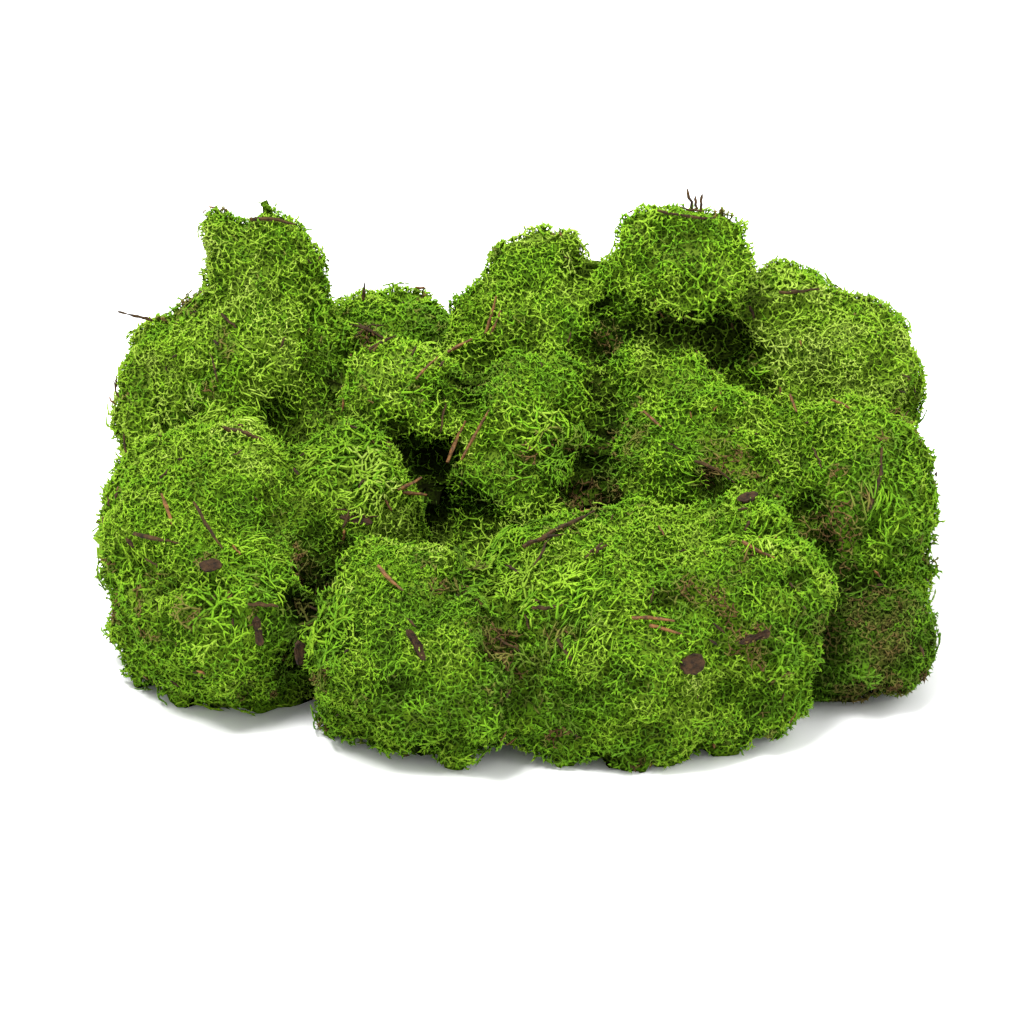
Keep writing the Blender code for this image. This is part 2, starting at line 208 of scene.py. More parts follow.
# Where long strands lie combed one way: placed in the same way, then the way in degrees and the
# longest strand in millimetres.
COMBED = (
    (-100, -15, 8, 5, 7), (-98, 41, 11, -45, 8), (25, -49, 12, 60, 8), (142, 0, 9, 90, 9),
    (73, 14, 9, -30, 7), (-94, -31, 8, -60, 7), (31, -33, 12, 30, 7), (-52, 2, 9, 50, 6),
    (-148, -20, 5, 88, 9), (100, 62, 8, -20, 6), (96, -12, 8, 75, 7), (-66, -35, 7, 100, 6),
)

# Small litter: what, then both ends, placed in the same way, and the thickness in millimetres.
SMALL_LITTER = (
    ("twig", 70.4, 114, 68.6, 122.4, 1.5), ("twig", 72, 114, 71.6, 119.6, 1.2),
    ("twig", 73.4, 114, 73.9, 120.4, 1.3), ("twig", 65, 115, 75, 113.5, 0.9),
    ("bark", 92.4, 78, 94.4, 72.2, 1.6),
    ("needle", 56.2, 80, 59.3, 72.9, 0.8), ("twig", -63.2, 71.4, -55.4, 68.3, 0.9),
    ("twig", -61.2, 68.3, -49.9, 69.8, 0.8), ("twig", -58.5, 62.4, -52.3, 69, 0.8),
    ("twig", -62.4, 65.1, -56.9, 69.8, 0.7), ("bark", -113.5, 74.1, -107.3, 68.6, 1.6),
    ("bark", -116, 64, -114, 62, 1.4), ("bark", -85.4, 14, -83, 11, 1.6),
    ("bark", 76.4, -52.7, 79.6, -54.6, 1.4), ("twig", 78, -46.8, 82.7, -50, 1.1),
    ("twig", -117.8, 59.7, -114.3, 48, 0.8), ("twig", -153, 42.5, -154.8, 48.5, 0.8),
    ("needle", -154, 39, -157, 42, 0.8), ("twig", -150.9, 28.1, -150.4, 18.3, 1.1),
    ("twig", -142.7, -20.7, -137.7, -24.6, 1), ("needle", 56.9, -8.6, 59.3, -12.9, 0.8),
    ("twig", -7, -51.9, 3.1, -58.1, 1), ("twig", -68.6, -1.6, -53, -5.5, 1.2),
    ("twig", -63.6, -2.7, -65.9, -9, 1.4), ("needle", -65.1, -9.8, -65.5, -13.7, 1.2),
    ("needle", -50.3, 2, -47.2, -2.7, 1.2), ("twig", -26.1, 41, -28.1, 28.5, 0.9),
    ("twig", 14.8, -13.7, 8.6, -25.7, 1.1), ("bark", -2.7, -24.2, 3.1, -27.3, 1.6),
    ("twig", 30.4, -19.5, 35.5, -16, 1.1), ("twig", -109.2, 34.7, -106.1, 30.4, 0.8),
    ("bark", -65.1, 31.2, -60.5, 29.3, 1.1), ("needle", -109.2, -16, -106.1, -19.9, 1),
    ("bark", -150, -13, -147, -16.5, 1.6), ("needle", 82, 44, 79, 36, 0.8),
    ("twig", 118, 22, 121, 14, 0.9), ("twig", 60, 24, 66, 21, 0.8),
)
CRUMBS = 150  # more small litter, strewn all over
CRUMB_SHARES = {"twig": 0.5, "needle": 0.25, "bark": 0.25}
CRUMB_LENGTH = 4.5 * MM
CRUMB_RISE = 0.8  # millimetres above the skin, at most
CRUMB_LOWEST = 5 * MM
STICK_RINGS = 6
STICK_SIDES = 5
STICK_CROOK = 0.03  # of its length

# Wear of the litter that has its own nodes: swells and crumbs in its outline.
WEAR_SIZE = 2.4 * MM
WEAR_HEIGHTS = {"needle": 0.35 * MM, "twig": 0.5 * MM, "bark": 2.2 * MM}
CRUMBLE_SIZE = 0.7 * MM
CRUMBLE_HEIGHT = 0.35 * MM

# Neighbours with a deep open fissure between them.
OPEN_FISSURES = (
    ("tuft_centre", "tuft_bright"),
    ("tuft_centre", "tuft_middle_left"),
    ("tuft_centre", "tuft_middle_right"),
    ("tuft_bright", "tuft_middle_left"),
    ("tuft_ball", "tuft_middle_right"),
    ("tuft_ball", "tuft_back_right"),
    ("tuft_front_right", "tuft_right_low"),
    ("tuft_right_front", "tuft_right_low"),
    ("tuft_left_front", "tuft_front_left"),
)


# ---- noise


def lattice(cells, seed):
    """A number from 0 to 1 for each whole-numbered cell of space."""
    n = cells[:, 0] * 73856093 ^ cells[:, 1] * 19349663 ^ cells[:, 2] * 83492791 ^ seed * 7919
    n = (n ^ (n >> 13)) * 1274126177 & 0xFFFFFFFF
    return ((n ^ (n >> 16)) & 0xFFFF) / 65535.0


def noise(points, size, seed):
    """Smooth noise from 0 to 1, whose swells are about size apart."""
    scaled = points / size
    base = np.floor(scaled).astype(np.int64)
    part = scaled - base
    part = part * part * (3 - 2 * part)
    total = np.zeros(len(points))
    for corner in itertools.product((0, 1), repeat=3):
        weight = np.prod(np.where(corner, part, 1 - part), axis=1)
        total += weight * lattice(base + np.array(corner), seed)
    return total


def unit(vectors):
    return vectors / np.maximum(np.linalg.norm(vectors, axis=1, keepdims=True), 1e-12)


def random_directions(count, draw):
    return unit(draw.normal(size=(count, 3)))


def kd_tree(points):
    tree = KDTree(len(points))
    for i, point in enumerate(points):
        tree.insert(point, i)
    tree.balance()
    return tree


# ---- objects and meshes


def add_object(name, data):
    made = bpy.data.objects.new(name, data)
    bpy.context.scene.collection.objects.link(made)
    return made


def mesh_of(shape, name):
    """A mesh of what a bmesh holds; the bmesh is freed."""
    mesh = bpy.data.meshes.new(name)
    shape.to_mesh(mesh)
    shape.free()
    return mesh


# ---- the skin


class Skin:
    """Points, outward normals and triangles of a closed surface."""

    def __init__(self, mesh):
        count = len(mesh.vertices)
        self.points = np.empty(count * 3)
        self.normals = np.empty(count * 3)
        mesh.vertices.foreach_get("co", self.points)
        mesh.vertex_normals.foreach_get("vector", self.normals)
        self.points = self.points.reshape(-1, 3)
        self.normals = self.normals.reshape(-1, 3)
        mesh.calc_loop_triangles()
        self.faces = np.empty(len(mesh.loop_triangles) * 3, np.int32)
        mesh.loop_triangles.foreach_get("vertices", self.faces)
        self.faces = self.faces.reshape(-1, 3)

    def tree(self):
        return BVHTree.FromPolygons(self.points.tolist(), self.faces.tolist(), all_triangles=True)

    def areas(self):
        a, b, c = (self.points[self.faces[:, i]] for i in range(3))
        return np.linalg.norm(np.cross(b - a, c - a), axis=1) / 2


def joined_tufts(names):
    shape = bmesh.new()
    for name in names:
        shape.from_mesh(frame["nodes"][name].data)
    bmesh.ops.remove_doubles(shape, verts=shape.verts, dist=WELD)
    return mesh_of(shape, "tufts")


def closed_over(mesh):
    """One smooth surface over all the tufts, with the narrow gaps between them closed."""
    carrier = add_object("skin", mesh)
    swell = carrier.modifiers.new("swell", "DISPLACE")
    swell.mid_level = 0
    swell.strength = CLOSING
    join = carrier.modifiers.new("join", "REMESH")
    join.mode = "VOXEL"
    join.voxel_size = SKIN_CELL
    soften = carrier.modifiers.new("soften", "SMOOTH")
    soften.factor = 0.5
    soften.iterations = SMOOTHING
    graph = bpy.context.evaluated_depsgraph_get()
    made = bpy.data.meshes.new_from_object(carrier.evaluated_get(graph))
    bpy.data.objects.remove(carrier)
    return made


def thin(points, spacing):
    """Indices of the points kept, each with no other nearer than its spacing."""
    tree = kd_tree(points)
    dropped = np.zeros(len(points), bool)
    kept = []
    for i, point in enumerate(points):
        if dropped[i]:
            continue
        kept.append(i)
        for _, j, _ in tree.find_range(point, spacing[i]):
            dropped[j] = True
    return np.array(kept)


def scatter(skin, spacing, draw, wider=None):
    """Points spread evenly over a skin, the normals there and the corners of their faces.

    wider says, for each of the skin's points, how much wider apart they are there."""
    areas = skin.areas()
    count = int(TRIES * areas.sum() / spacing**2)
    face = draw.choice(len(areas), count, p=areas / areas.sum())
    corners = skin.faces[face]
    u, v = draw.random(count), draw.random(count)
    over = u + v > 1
    u[over], v[over] = 1 - u[over], 1 - v[over]
    weights = np.stack([1 - u - v, u, v], axis=1)[:, :, None]
    points = (skin.points[corners] * weights).sum(1)
    normals = unit((skin.normals[corners] * weights).sum(1))
    apart = np.full(count, spacing) if wider is None else spacing * wider[corners].mean(1)
    kept = thin(points, apart)
    return points[kept], normals[kept], corners[kept]


def tree_of(names):
    """One tree of these nodes' solids, and for each of its faces the index of the node."""
    corners, faces, belongs = [], [], []
    first = 0
    for index, name in enumerate(names):
        solid = Skin(frame["nodes"][name].data)
        corners.append(solid.points)
        faces.append(solid.faces + first)
        belongs += [index] * len(solid.faces)
        first += len(solid.points)
    tree = BVHTree.FromPolygons(
        np.concatenate(corners).tolist(), np.concatenate(faces).tolist(), all_triangles=True
    )
    return tree, belongs


def owners(points, names):
    """The index of the tuft whose solid lies nearest to each point."""
    tree, belongs = tree_of(names)
    return np.array([belongs[tree.find_nearest(point)[2]] for point in points])


def fissures(points, owner, names):
    """How near each point is to the fissure between its tuft and another, from 0 to 1."""
    trees = [Skin(frame["nodes"][name].data).tree() for name in names]
    open_pairs = {frozenset((names.index(a), names.index(b))) for a, b in OPEN_FISSURES}
    shares = CREASE_SHARE * np.clip(1.8 * noise(points, CREASE_SIZE, SEED + 12) - 0.3, 0, 1)
    near = np.zeros(len(points))
    for i, point in enumerate(points):
        own = trees[owner[i]].find_nearest(point)[3]
        for other, tree in enumerate(trees):
            if other == owner[i]:
                continue
            distance = tree.find_nearest(point, own + 3 * FISSURE_WIDTH)[3]
            if distance is not None:
                share = 1.0 if frozenset((owner[i], other)) in open_pairs else shares[i]
                apart = (distance - own) / FISSURE_WIDTH
                near[i] = max(near[i], share * math.exp(-(apart**2)))
    return near


def bed(points):
    """How near each point is to a piece of litter, from 0 to 1."""
    tree, _ = tree_of([name for name in frame["nodes"] if not name.startswith("tuft")])
    near = np.zeros(len(points))
    for i, point in enumerate(points):
        distance = tree.find_nearest(point, 3 * LITTER_REACH)[3]
        if distance is not None:
            near[i] = math.exp(-((distance / LITTER_REACH) ** 2))
    return near


def domes(skin, draw):
    """Height, from 0 to 1, of the round heads that the moss is made of."""
    seeds, _, _ = scatter(skin, DOME_SPACING, draw)
    heights = draw.uniform(*DOME_HEIGHTS, len(seeds))
    reaches = DOME_SPACING * draw.uniform(*DOME_REACHES, len(seeds))
    tree = kd_tree(seeds)
    result = np.zeros(len(skin.points))
    for i, point in enumerate(skin.points):
        for _, j, distance in tree.find_n(point, 2):
            share = min(distance / reaches[j], 1.0)
            result[i] = max(result[i], heights[j] * math.sqrt(1 - share**2))
    return result


def edges_of(faces):
    return np.concatenate([faces[:, [0, 1]], faces[:, [1, 2]], faces[:, [2, 0]]])


def evened(skin, height):
    """The heights with the steps between neighbours taken out."""
    edges = edges_of(skin.faces)
    count = len(skin.points)
    around = np.bincount(edges[:, 0], minlength=count) + np.bincount(edges[:, 1], minlength=count)
    for _ in range(EVENING):
        total = np.bincount(edges[:, 0], height[edges[:, 1]], count)
        total += np.bincount(edges[:, 1], height[edges[:, 0]], count)
        height = (height + total / np.maximum(around, 1)) / 2
    return height


def spread(skin, values):
    """The values, each raised to the highest that its neighbours have, LACE_INWARD times."""
    for _ in range(LACE_INWARD):
        raised = values.copy()
        np.maximum.at(raised, skin.faces, values[skin.faces].max(1)[:, None])
        values = raised
    return values


def make_skin(names):
    """The skin, the tuft that each of its points belongs to, and from 0 to 1 how high each stands,
    how deep in a fissure it lies and how near the litter it is."""
    mesh = closed_over(joined_tufts(names))
    skin = Skin(mesh)
    points, normals = skin.points, skin.normals
    owner = owners(points, names)
    dome = domes(skin, np.random.default_rng(DOME_SEED))
    pit = np.clip((noise(points, PIT_SIZE, SEED + 8) - PIT_LEVEL) / (1 - PIT_LEVEL), 0, 1)
    patch = in_spots(points, normals, PATCHES["pit"])
    height = DOME_HEIGHT * (dome - 1)
    height += SWELL_HEIGHT * (noise(points, SWELL_SIZE, SEED) - SWELL_LEVEL)
    height += KNOB_HEIGHT * (noise(points, KNOB_SIZE, SEED + 1) - 0.5)
    height -= PIT_DEPTH * pit + PATCH_PIT * patch
    for name, x, y, radius, depth in DIPS:
        spot = in_spots(points, None, ((x, y, radius),)) * (owner == names.index(name))
        height -= depth * MM * spot
    fissure = fissures(points, owner, names)
    height -= FISSURE_DEPTH * fissure
    near = bed(points)
    height = evened(skin, height * (1 - near) + LITTER_BED * near)
    # How high each place stands, lower in the dips and pits; it sets the painted shade of the lace
    # and core, darker where it is low.
    stands = np.clip(0.35 + 0.65 * dome - 0.8 * pit - patch, 0, 1) * (1 - near) + near
    skin.points += normals * height[:, None]
    skin.points[:, 2] = np.maximum(skin.points[:, 2], GROUND)
    mesh.vertices.foreach_set("co", skin.points.ravel())
    mesh.update()
    return Skin(mesh), owner, stands, fissure * (1 - near), near


# ---- patches


def picture_axes():
    """The camera's ways ahead and up; its way to the right is +X."""
    cos, sin = math.cos(CAMERA_LEAN), math.sin(CAMERA_LEAN)
    return np.array((0, cos, -sin)), np.array((0, sin, cos))


def in_spots(points, normals, spots):
    """How much each point lies in round spots, from 0 to 1, on the side that faces front, or on
    all sides if there are no normals.

    A spot is how far right of TARGET and how far above it the camera sees it, and its radius."""
    ahead, up = picture_axes()
    away = points - np.array(TARGET)
    scale = CAMERA_DISTANCE / (CAMERA_DISTANCE + away @ ahead)
    across, above = away[:, 0] * scale, away @ up * scale
    uneven = 0.6 + 0.8 * noise(points, 4 * MM, SEED + 9)
    total = np.zeros(len(points))
    for x, y, radius in spots:
        distance = np.hypot(across - x * MM, above - y * MM)
        total = np.maximum(total, np.exp(-((distance / (radius * MM * uneven)) ** 4)))
    return total if normals is None else total * np.clip(-normals @ ahead / 0.3, 0, 1)


def on_skin(tree, x, y):
    """A place just above the skin that the camera sees at x and y, or None."""
    ahead, up = picture_axes()
    eye = np.array(TARGET) - ahead * CAMERA_DISTANCE
    seen = np.array(TARGET) + np.array((x * MM, 0, 0)) + up * y * MM
    hit, normal, _, _ = tree.ray_cast(Vector(eye), Vector(seen - eye))
    return None if hit is None else np.array(hit + normal * LITTER_BED)


# ---- openness


def sphere_directions(count):
    i = np.arange(count) + 0.5
    z = 1 - 2 * i / count
    turn = math.pi * (1 + 5**0.5) * i
    flat = np.sqrt(1 - z * z)
    return np.stack([flat * np.cos(turn), flat * np.sin(turn), z], axis=1)


def openness(points, normals, tree):
    """How much of the outside each point sees, from 0 to 1."""
    ways = sphere_directions(RAYS)
    vectors = [Vector(way) for way in ways]
    facing = normals @ ways.T
    result = np.zeros(len(points))
    starts = points + normals * RAY_START
    for i, start in enumerate(starts):
        start = Vector(start)
        seen = total = 0.0
        for k in np.nonzero(facing[i] > 0.15)[0]:
            total += facing[i, k]
            if tree.ray_cast(start, vectors[k], RAY_LENGTH)[0] is None:
                seen += facing[i, k] * (1.0 if vectors[k].z > -0.1 else FLOOR_SHARE)
        result[i] = seen / max(total, 1e-6)
    return result


# ---- branchlets


class Branches:
    """Gathers thin three-sided branchlets, each with a hue and a depth at both ends.

    The depth runs from 0, down in the dark, to 1, at a bright tip; the darkness down in the lace is
    painted shade."""

    TURNS = 2 * math.pi * np.arange(3) / 3
    SHADE_WIDTH = 0.01  # between the hues of a ring's corners

    def __init__(self):
        self.points, self.shades, self.faces = [], [], []
        self.count = 0

    def add(self, points, depth, hue):
        """points is (count, corners, 3); depth and hue are one number for each of count."""
        count, corners = points.shape[:2]
        side = (np.arange(corners) - (corners - 1) / 2) * self.SHADE_WIDTH
        depths = np.repeat(depth[:, None], corners, axis=1)
        self.points.append(points.reshape(-1, 3))
        self.shades.append(np.stack([depths, hue[:, None] + side], axis=2).reshape(-1, 2))
        first = self.count
        self.count += count * corners
        return first + np.arange(count * corners).reshape(count, corners)

    def ring(self, start, end, radius, draw):
        """Three corners around the line from start to end, as steps away from it."""
        along = unit(end - start)
        across = unit(np.cross(along, random_directions(len(along), draw)))
        up = np.cross(along, across)
        cos, sin = np.cos(self.TURNS)[None, :, None], np.sin(self.TURNS)[None, :, None]
        return (across[:, None] * cos + up[:, None] * sin) * radius[:, None, None]

    def spikes(self, start, end, radius, depths, hue, draw):
        """Pointed branchlets; depths are those at the start and at the end."""
        ring = self.ring(start, end, radius, draw)
        low = self.add(start[:, None] + ring, depths[0], hue)
        self.point(low, self.add(end[:, None], depths[1], hue))

    def point(self, low, tip):
        """Faces from each ring to its tip."""
        for s in range(3):
            t = (s + 1) % 3
            self.faces.append(np.stack([low[:, s], low[:, t], tip[:, 0]], axis=1))

    def bent(self, start, middle, end, radius, depths, hue, draw):
        """Branchlets with one bend, pointed at the end."""
        ring = self.ring(start, end, radius, draw)
        low = self.add(start[:, None] + ring, depths[0], hue)
        high = self.add(middle[:, None] + 0.85 * ring, depths[1], hue)
        for s in range(3):
            t = (s + 1) % 3
            quad = np.stack([low[:, s], low[:, t], high[:, t], high[:, s]], axis=1)
            self.faces.append(quad)
        self.point(high, self.add(end[:, None], depths[2], hue))

    def surface(self, points, faces, depth, hue):
        """A surface, such as the core."""
        first = self.count
        self.points.append(points)
        self.shades.append(np.stack([depth, hue], axis=1))
        self.count += len(points)
        self.faces.append(faces + first)

    def mesh(self, name, bake_map=None):
        """The mesh of all that was added. Where a bake map is named, it holds depth and hue."""
        points = np.concatenate(self.points)
        points[:, 2] = np.maximum(points[:, 2], LOWEST)
        shades = np.clip(np.concatenate(self.shades), 0.005, 0.995)
        corners = np.concatenate([f.ravel() for f in self.faces]).astype(np.int32)
        sizes = np.concatenate([np.full(len(f), f.shape[1]) for f in self.faces])
        mesh = bpy.data.meshes.new(name)
        mesh.vertices.add(len(points))
        mesh.vertices.foreach_set("co", points.astype(np.float32).ravel())
        mesh.loops.add(len(corners))
        mesh.loops.foreach_set("vertex_index", corners)
        mesh.polygons.add(len(sizes))
        starts = np.concatenate([[0], np.cumsum(sizes)[:-1]]).astype(np.int32)
        mesh.polygons.foreach_set("loop_start", starts)
        mesh.update(calc_edges=True)
        shade = mesh.attributes.new("shade", "FLOAT2", "POINT")
        shade.data.foreach_set("vector", shades.astype(np.float32).ravel())
        if bake_map:
            layer = mesh.uv_layers.new(name=bake_map)
            layer.uv.foreach_set("vector", shades[corners].astype(np.float32).ravel())
        mesh.shade_smooth()
        return mesh


class Growth:
    """Every branching point over the skin, and what grows there."""

    def __init__(self, skin, tree, owner, stands, fissure, litter, seen, names, draw):
        self.draw, self.tree = draw, tree
        back = np.clip(skin.normals[:, 1] - 0.3 * skin.normals[:, 2], 0, 1)
        coarse = np.clip(1.7 * noise(skin.points, COARSE_SIZE, SEED + 13) - 0.65, 0, 1)
        coarse = np.maximum(coarse, in_spots(skin.points, skin.normals, COARSE_PATCHES))
        wider = 1 + WIDER_BEHIND * back + WIDER_INSIDE * np.clip(1 - seen / 0.3, 0, 1)
        wider *= FINEST + COARSER * coarse
        points, normals, corners = scatter(skin, SPACING, draw, wider)
        shown = seen[corners].mean(1)
        under = (points[:, 2] < UNDERSIDE) & (normals[:, 2] < -0.3)
        kept = (spread(skin, seen)[corners].mean(1) > 0) & ~under
        self.points, self.normals, self.open = points[kept], normals[kept], shown[kept]
        corners = corners[kept]
        self.owner = owner[corners[:, 0]]
        self.stands = stands[corners].mean(1)
        self.clear = litter[corners].mean(1) < 0.05
        self.thick = FINEST + COARSER * coarse[corners].mean(1)
        self.count = len(self.points)
        self.hue = self.hues(names)
        # Painted light and shade: the lace is painted darker where it sees little of the outside,
        # where it stands low and in fissures, times each tuft's lightness.
        self.lift = (0.62 + 0.38 * np.clip(self.open / 0.5, 0, 1)) * (0.76 + 0.24 * self.stands)
        self.lift *= np.array([TUFT_LOOKS[name][1] for name in names])[self.owner]
        self.lift *= 1 - 0.42 * fissure[corners].mean(1)
        self.deep = draw.random(self.count) < DEEP_SHARE
        sunk = np.where(
            self.deep, draw.uniform(*DEEP_SUNK, self.count), draw.uniform(*TOP_SUNK, self.count)
        )
        self.spots = self.points - self.normals * sunk[:, None] * MM
        # Painted shade of the branching points that lie deep in the lace.
        self.lift *= np.where(self.deep, DEEP_SHADE, 1.0)
        self.pairs = self.neighbours()

    def hues(self, names):
        """The hue of each branching point: its tuft's, with swings, dead spots and patches, and
        painted shade that turns it browner where it stands low or sees little of the outside.
        """
        points = self.points
        hue = np.array([TUFT_LOOKS[name][0] for name in names])[self.owner]
        for size, seed, swing in HUE_SWINGS:
            hue += swing * (noise(points, size, seed) - 0.5)
        # Painted shade: browner where the skin stands low, paler on the domes; and random swings.
        hue += 0.10 * (self.stands - 0.7) + self.draw.normal(0, 0.055, self.count)
        dead = noise(points, DEAD_SIZES[0], SEED + 4) * noise(points, DEAD_SIZES[1], SEED + 5)
        hue -= DEAD_HUE * np.clip((dead - 0.45) / 0.16, 0, 1)
        # Painted shade: browner where a place sees little of the outside.
        hue -= 0.8 * np.clip(0.30 - self.open, 0, 1)
        for kind, shift in PATCH_HUES.items():
            hue += shift * in_spots(points, self.normals, PATCHES[kind])
        return np.clip(hue, 0.03, 0.97)

    def neighbours(self):
        """Pairs of branching points that an arm joins."""
        tree = kd_tree(self.spots)
        pairs = set()
        for i, spot in enumerate(self.spots):
            for _, j, distance in tree.find_n(spot, NEIGHBOURS + 1):
                if j != i and distance < LONGEST_ARM * SPACING:
                    pairs.add((min(i, j), max(i, j)))
        pairs = np.array(sorted(pairs))
        turned = (self.normals[pairs[:, 0]] * self.normals[pairs[:, 1]]).sum(1)
        pairs = pairs[turned > 0.1]
        swap = self.draw.random(len(pairs)) < 0.5
        pairs[swap] = pairs[swap][:, ::-1]
        return pairs

    def arms(self, branches, pairs, draw):
        """Branchlets from one branching point to just past the next, some of them bent."""
        start, end = self.spots[pairs[:, 0]], self.spots[pairs[:, 1]]
        hue, lift = self.hue[pairs[:, 0]], self.lift[pairs[:, 0]]
        further = end + (end - start) * draw.uniform(0.1, 0.5, len(pairs))[:, None]
        radius = BRANCH * draw.uniform(0.8, 1.2, len(pairs)) * self.thick[pairs[:, 0]]
        bend = draw.random(len(pairs)) < BENT_SHARE
        one = ~bend
        depths = (0.80 * lift, 0.95 * lift)
        branches.spikes(
            start[one], further[one], radius[one], [d[one] for d in depths], hue[one], draw
        )
        middle = (start + end) / 2 + draw.normal(0, 0.3, start.shape) * MM
        depths = (0.78 * lift, 0.84 * lift, 0.95 * lift)
        branches.bent(
            start[bend], middle[bend], further[bend], radius[bend],
            [d[bend] for d in depths], hue[bend], draw,
        )

    def roots(self, branches, here, draw):
        """Branchlets that run down into the dark, painted darker towards their ends as shade."""
        spots, normals = self.spots[here], self.normals[here]
        down = unit(-normals + 0.5 * random_directions(len(here), draw))
        length = draw.uniform(0.7, 1.1, len(here))[:, None] * ROOT_LENGTH
        radius = 1.1 * BRANCH * self.thick[here]
        depths = (0.74 * self.lift[here], np.full(len(here), 0.05))
        branches.spikes(spots, spots + down * length, radius, depths, self.hue[here], draw)

    def tips(self, branches, here, lean, draw):
        """Short branchlets that point out of the skin; lean is how far they stray from that."""
        spots, normals = self.spots[here], self.normals[here]
        out = unit(normals + lean * random_directions(len(here), draw))
        length = (draw.uniform(0.6, 1.3, len(here)) * self.thick[here])[:, None] * TIP_LENGTH
        radius = BRANCH * self.thick[here]
        depths = (0.82 * self.lift[here], self.lift[here])
        branches.spikes(spots, spots + out * length, radius, depths, self.hue[here], draw)

    def heads(self, branches, here, draw):
        """Stalks that stand out of the lace and fork in three."""
        spots, normals = self.spots[here], self.normals[here]
        out = unit(normals + 0.6 * random_directions(len(here), draw))
        length = (draw.uniform(0.8, 1.7, len(here)) * self.thick[here])[:, None] * MM
        fork = spots + out * length
        hue, lift = self.hue[here], self.lift[here]
        radius = 1.1 * BRANCH * self.thick[here]
        branches.spikes(fork, spots - out * MM, radius, (0.9 * lift, 0.6 * lift), hue, draw)
        for _ in range(HEAD_TIPS):
            way = unit(out + 0.9 * random_directions(len(here), draw))
            reach = (draw.uniform(0.8, 1.5, len(here)) * self.thick[here])[:, None] * MM
            depths = (0.88 * lift, 1.02 * lift)
            branches.spikes(fork, fork + way * reach, 0.9 * radius, depths, hue + 0.04, draw)

    def combed(self, branches, here, draw):
        """Long strands that lie along the skin, all one way in each of the combed patches."""
        _, up = picture_axes()
        for x, y, radius, way, longest in COMBED:
            share = in_spots(self.points[here], self.normals[here], ((x, y, radius),))
            some = here[draw.random(len(here)) < COMBED_SHARE * share]
            if not len(some):
                continue
            turn = math.radians(way)
            along = math.cos(turn) * np.array((1.0, 0, 0)) + math.sin(turn) * up
            along = along + COMBED_STRAY * random_directions(len(some), draw)
            normals = self.normals[some]
            along = unit(along - normals * (along * normals).sum(1)[:, None])
            length = draw.uniform(0.4, 1.0, len(some))[:, None] * longest * MM
            start = self.points[some] - along * length / 2 - normals * 0.6 * MM
            middle = self.points[some] + normals * draw.uniform(0.2, 0.9, len(some))[:, None] * MM
            end = self.points[some] + along * length / 2
            lift = self.lift[some]
            branches.bent(
                start, middle, end, BRANCH * self.thick[some],
                (0.8 * lift, 0.95 * lift, lift), self.hue[some] + 0.05, draw,
            )

    def snapped(self, places, rise):
        """The places moved to this height above the skin, and the normals there."""
        found = [self.tree.find_nearest(place)[:2] for place in places]
        normals = np.array([normal for _, normal in found])
        return np.array([near for near, _ in found]) + normals * rise, normals

    def antlers(self, branches, here, draw):
        """Coarse branchlets that lie along the skin and fork again and again."""
        coarse = in_spots(self.points[here], self.normals[here], COARSE_PATCHES)
        share = ANTLER_SHARE + ANTLERS_IN_PATCHES * coarse
        some = here[(draw.random(len(here)) < share) & (self.open[here] > 0.2) & self.clear[here]]
        if not len(some):
            return
        start, normals = self.snapped(self.points[some], ANTLER_RISES[0])
        way = random_directions(len(some), draw)
        thick = ANTLER_THICKNESS * BRANCH * self.thick[some]
        length = ANTLER_ARM * self.thick[some]
        levels = len(ANTLER_RISES) - 1
        for level in range(1, levels + 1):
            way = unit(way - normals * (way * normals).sum(1)[:, None])
            reach = (length * draw.uniform(0.7, 1.3, len(some)))[:, None]
            end, normals = self.snapped(start + way * reach, ANTLER_RISES[level])
            lift = self.lift[some] * (0.78 + 0.16 * level / levels)
            hue = np.clip(self.hue[some] + 0.03, 0, 1)
            depths = (0.9 * lift, lift, lift)
            further = end + (end - start) * 0.25
            branches.bent(start, (start + 2 * end) / 3, further, thick, depths, hue, draw)
            way = unit(end - start)
            across = np.cross(normals, way)
            turn = draw.uniform(0.3, 0.75, len(some))[:, None]
            keep = draw.random(2 * len(some)) < ANTLER_FORKS
            way = np.concatenate([way + turn * across, way - turn * across])[keep]
            start, normals = np.tile(end, (2, 1))[keep], np.tile(normals, (2, 1))[keep]
            some, thick = np.tile(some, 2)[keep], ANTLER_THINS * np.tile(thick, 2)[keep]
            length = ANTLER_SHORTENS * np.tile(length, 2)[keep]

    def over(self, branches, index):
        """Adds to branches what grows over one tuft."""
        draw = np.random.default_rng([SEED, 1, index])
        here = np.nonzero(self.owner == index)[0]
        self.arms(branches, self.pairs[self.owner[self.pairs[:, 0]] == index], draw)
        self.roots(branches, here, draw)
        top = here[~self.deep[here]]
        self.tips(branches, top, TIP_LEANS[0], draw)
        self.tips(branches, top[draw.random(len(top)) < SECOND_TIPS], TIP_LEANS[1], draw)
        share = HEAD_SHARE * (0.5 + 2 * (self.stands[top] > 0.85))
        self.heads(branches, top[draw.random(len(top)) < share], draw)
        self.combed(branches, here, draw)
        self.antlers(branches, here, draw)


